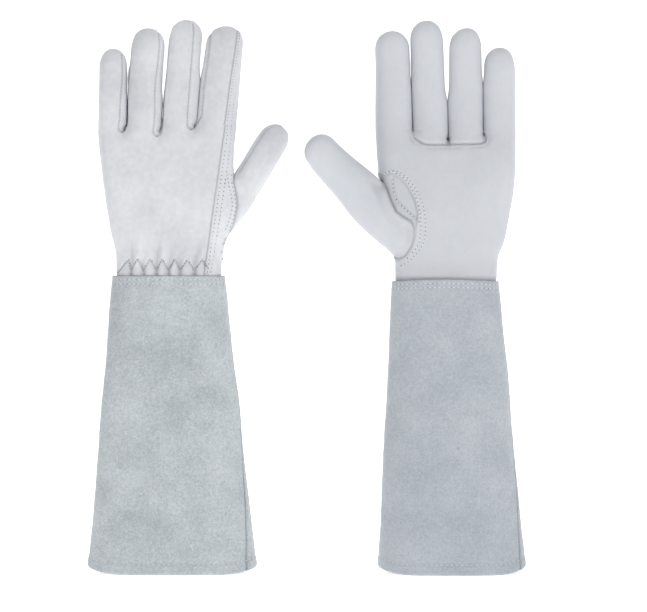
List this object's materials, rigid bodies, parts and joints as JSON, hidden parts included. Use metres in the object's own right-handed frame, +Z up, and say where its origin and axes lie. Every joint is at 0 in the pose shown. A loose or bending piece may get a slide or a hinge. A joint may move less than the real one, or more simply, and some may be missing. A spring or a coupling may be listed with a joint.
{
  "type": "beekeeping gloves",
  "caption": "Beekeeping gloves with long tapered suede cuffs, elastic-gathered wrists and smooth leather hands whose thumbs and fingers bend.",
  "frame": {"origin": "on the surface that the pair stands on, under the middle of its box", "axes": "+Z up towards the fingertips, +X to the right seen from the front, +Y away from the front; glove a shows its back to -Y and glove b its palm"},
  "size_m": [0.373, 0.0686, 0.4718],
  "materials": {
    "hand_leather": "smooth white goat leather with a fine grain",
    "cuff_suede": "pale grey split suede with a short nap",
    "thread": "off-white sewing thread",
    "elastic": "white knitted elastic tape"
  },
  "bodies": {
    "a_cuff": {"a_cuff_palm_panel": "cuff_suede", "a_cuff_back_panel": "cuff_suede", "a_cuff_upper_top_thread": "thread", "a_cuff_lower_top_thread": "thread", "a_cuff_hem_thread": "thread", "a_wrist_skin": "hand_leather", "a_wrist_elastic": "elastic", "a_zigzag_thread": "thread"},
    "a_hand": {"a_hand_skin": "hand_leather", "a_thumb_root": "hand_leather", "a_thumb_gusset": "hand_leather", "a_back_seam_thread": "thread"},
    "a_little_base": {"a_little_back": "hand_leather", "a_little_front": "hand_leather"},
    "a_little_tip": {"a_little_tip_back": "hand_leather", "a_little_tip_front": "hand_leather"},
    "a_ring_base": {"a_ring_back": "hand_leather", "a_ring_front": "hand_leather"},
    "a_ring_tip": {"a_ring_tip_back": "hand_leather", "a_ring_tip_front": "hand_leather"},
    "a_middle_base": {"a_middle_back": "hand_leather", "a_middle_front": "hand_leather"},
    "a_middle_tip": {"a_middle_tip_back": "hand_leather", "a_middle_tip_front": "hand_leather"},
    "a_index_base": {"a_index_back": "hand_leather", "a_index_front": "hand_leather"},
    "a_index_tip": {"a_index_tip_back": "hand_leather", "a_index_tip_front": "hand_leather"},
    "a_thumb_base": {"a_thumb_tube": "hand_leather"},
    "a_thumb_tip": {"a_thumb_tip_tube": "hand_leather"},
    "b_cuff": {"b_cuff_palm_panel": "cuff_suede", "b_cuff_back_panel": "cuff_suede", "b_cuff_upper_top_thread": "thread", "b_cuff_lower_top_thread": "thread", "b_cuff_hem_thread": "thread", "b_wrist_skin": "hand_leather", "b_wrist_elastic": "elastic", "b_zigzag_thread": "thread"},
    "b_hand": {"b_hand_skin": "hand_leather", "b_thumb_root": "hand_leather", "b_thumb_gusset": "hand_leather", "b_back_seam_thread": "thread"},
    "b_little_base": {"b_little_back": "hand_leather", "b_little_front": "hand_leather"},
    "b_little_tip": {"b_little_tip_back": "hand_leather", "b_little_tip_front": "hand_leather"},
    "b_ring_base": {"b_ring_back": "hand_leather", "b_ring_front": "hand_leather"},
    "b_ring_tip": {"b_ring_tip_back": "hand_leather", "b_ring_tip_front": "hand_leather"},
    "b_middle_base": {"b_middle_back": "hand_leather", "b_middle_front": "hand_leather"},
    "b_middle_tip": {"b_middle_tip_back": "hand_leather", "b_middle_tip_front": "hand_leather"},
    "b_index_base": {"b_index_back": "hand_leather", "b_index_front": "hand_leather"},
    "b_index_tip": {"b_index_tip_back": "hand_leather", "b_index_tip_front": "hand_leather"},
    "b_thumb_base": {"b_thumb_tube": "hand_leather"},
    "b_thumb_tip": {"b_thumb_tip_tube": "hand_leather"}
  },
  "joints": [
    {"name": "a_wrist", "type": "hinge", "parent": "a_cuff", "child": "a_hand", "pos_m": [-0.11786, 0.001, 0.27], "axis": [-1, 0, 0], "range_deg": [-40, 40]},
    {"name": "a_little_knuckle", "type": "hinge", "parent": "a_hand", "child": "a_little_base", "pos_m": [-0.16601, 0.0125, 0.371], "axis": [-1, 0, 0.007], "range_deg": [0, 80]},
    {"name": "a_little_middle_fold", "type": "hinge", "parent": "a_little_base", "child": "a_little_tip", "pos_m": [-0.16579, 0.0147, 0.40242], "axis": [-1, 0, 0.007], "range_deg": [0, 90]},
    {"name": "a_ring_knuckle", "type": "hinge", "parent": "a_hand", "child": "a_ring_base", "pos_m": [-0.13926, 0.0125, 0.371], "axis": [-0.9996, 0, 0.0279], "range_deg": [0, 80]},
    {"name": "a_ring_middle_fold", "type": "hinge", "parent": "a_ring_base", "child": "a_ring_tip", "pos_m": [-0.13818, 0.0152, 0.40953], "axis": [-0.9996, 0, 0.0279], "range_deg": [0, 90]},
    {"name": "a_middle_knuckle", "type": "hinge", "parent": "a_hand", "child": "a_middle_base", "pos_m": [-0.10986, 0.0125, 0.371], "axis": [-0.9983, 0, 0.0576], "range_deg": [0, 80]},
    {"name": "a_middle_middle_fold", "type": "hinge", "parent": "a_middle_base", "child": "a_middle_tip", "pos_m": [-0.10744, 0.01543, 0.41283], "axis": [-0.9983, 0, 0.0576], "range_deg": [0, 90]},
    {"name": "a_index_knuckle", "type": "hinge", "parent": "a_hand", "child": "a_index_base", "pos_m": [-0.07876, 0.0125, 0.371], "axis": [-0.9962, 0, 0.0872], "range_deg": [0, 80]},
    {"name": "a_index_middle_fold", "type": "hinge", "parent": "a_index_base", "child": "a_index_tip", "pos_m": [-0.0753, 0.01527, 0.41044], "axis": [-0.9962, 0, 0.0872], "range_deg": [0, 90]},
    {"name": "a_thumb_knuckle", "type": "hinge", "parent": "a_hand", "child": "a_thumb_base", "pos_m": [-0.05836, 0.0205, 0.3266], "axis": [-0.8387, 0, 0.5446], "range_deg": [0, 40]},
    {"name": "a_thumb_middle_fold", "type": "hinge", "parent": "a_thumb_base", "child": "a_thumb_tip", "pos_m": [-0.04197, 0.028, 0.35183], "axis": [-0.8387, 0, 0.5446], "range_deg": [0, 60]},
    {"name": "b_lift", "type": "slide", "parent": "a_cuff", "child": "b_cuff", "axis": [0, 0, 1], "range_m": [0, 0.15]},
    {"name": "b_wrist", "type": "hinge", "parent": "b_cuff", "child": "b_hand", "pos_m": [0.11814, 0.001, 0.27], "axis": [1, 0, 0], "range_deg": [-40, 40]},
    {"name": "b_little_knuckle", "type": "hinge", "parent": "b_hand", "child": "b_little_base", "pos_m": [0.16324, -0.0105, 0.371], "axis": [0.9998, 0, 0.0192], "range_deg": [0, 80]},
    {"name": "b_little_middle_fold", "type": "hinge", "parent": "b_little_base", "child": "b_little_tip", "pos_m": [0.16264, -0.01271, 0.40263], "axis": [0.9998, 0, 0.0192], "range_deg": [0, 90]},
    {"name": "b_ring_knuckle", "type": "hinge", "parent": "b_hand", "child": "b_ring_base", "pos_m": [0.13444, -0.0105, 0.371], "axis": [1, 0, -0.0017], "range_deg": [0, 80]},
    {"name": "b_ring_middle_fold", "type": "hinge", "parent": "b_ring_base", "child": "b_ring_tip", "pos_m": [0.13451, -0.0132, 0.40955], "axis": [1, 0, -0.0017], "range_deg": [0, 90]},
    {"name": "b_middle_knuckle", "type": "hinge", "parent": "b_hand", "child": "b_middle_base", "pos_m": [0.10429, -0.0105, 0.371], "axis": [0.9995, 0, 0.0314], "range_deg": [0, 80]},
    {"name": "b_middle_middle_fold", "type": "hinge", "parent": "b_middle_base", "child": "b_middle_tip", "pos_m": [0.10299, -0.0134, 0.41246], "axis": [0.9995, 0, 0.0314], "range_deg": [0, 90]},
    {"name": "b_index_knuckle", "type": "hinge", "parent": "b_hand", "child": "b_index_base", "pos_m": [0.07419, -0.0105, 0.371], "axis": [0.9999, 0, 0.0122], "range_deg": [0, 80]},
    {"name": "b_index_middle_fold", "type": "hinge", "parent": "b_index_base", "child": "b_index_tip", "pos_m": [0.07373, -0.01312, 0.40854], "axis": [0.9999, 0, 0.0122], "range_deg": [0, 90]},
    {"name": "b_thumb_knuckle", "type": "hinge", "parent": "b_hand", "child": "b_thumb_base", "pos_m": [0.04864, -0.0205, 0.3217], "axis": [0.682, 0, 0.7314], "range_deg": [0, 40]},
    {"name": "b_thumb_middle_fold", "type": "hinge", "parent": "b_thumb_base", "child": "b_thumb_tip", "pos_m": [0.02664, -0.028, 0.34221], "axis": [0.682, 0, 0.7314], "range_deg": [0, 60]}
  ]
}
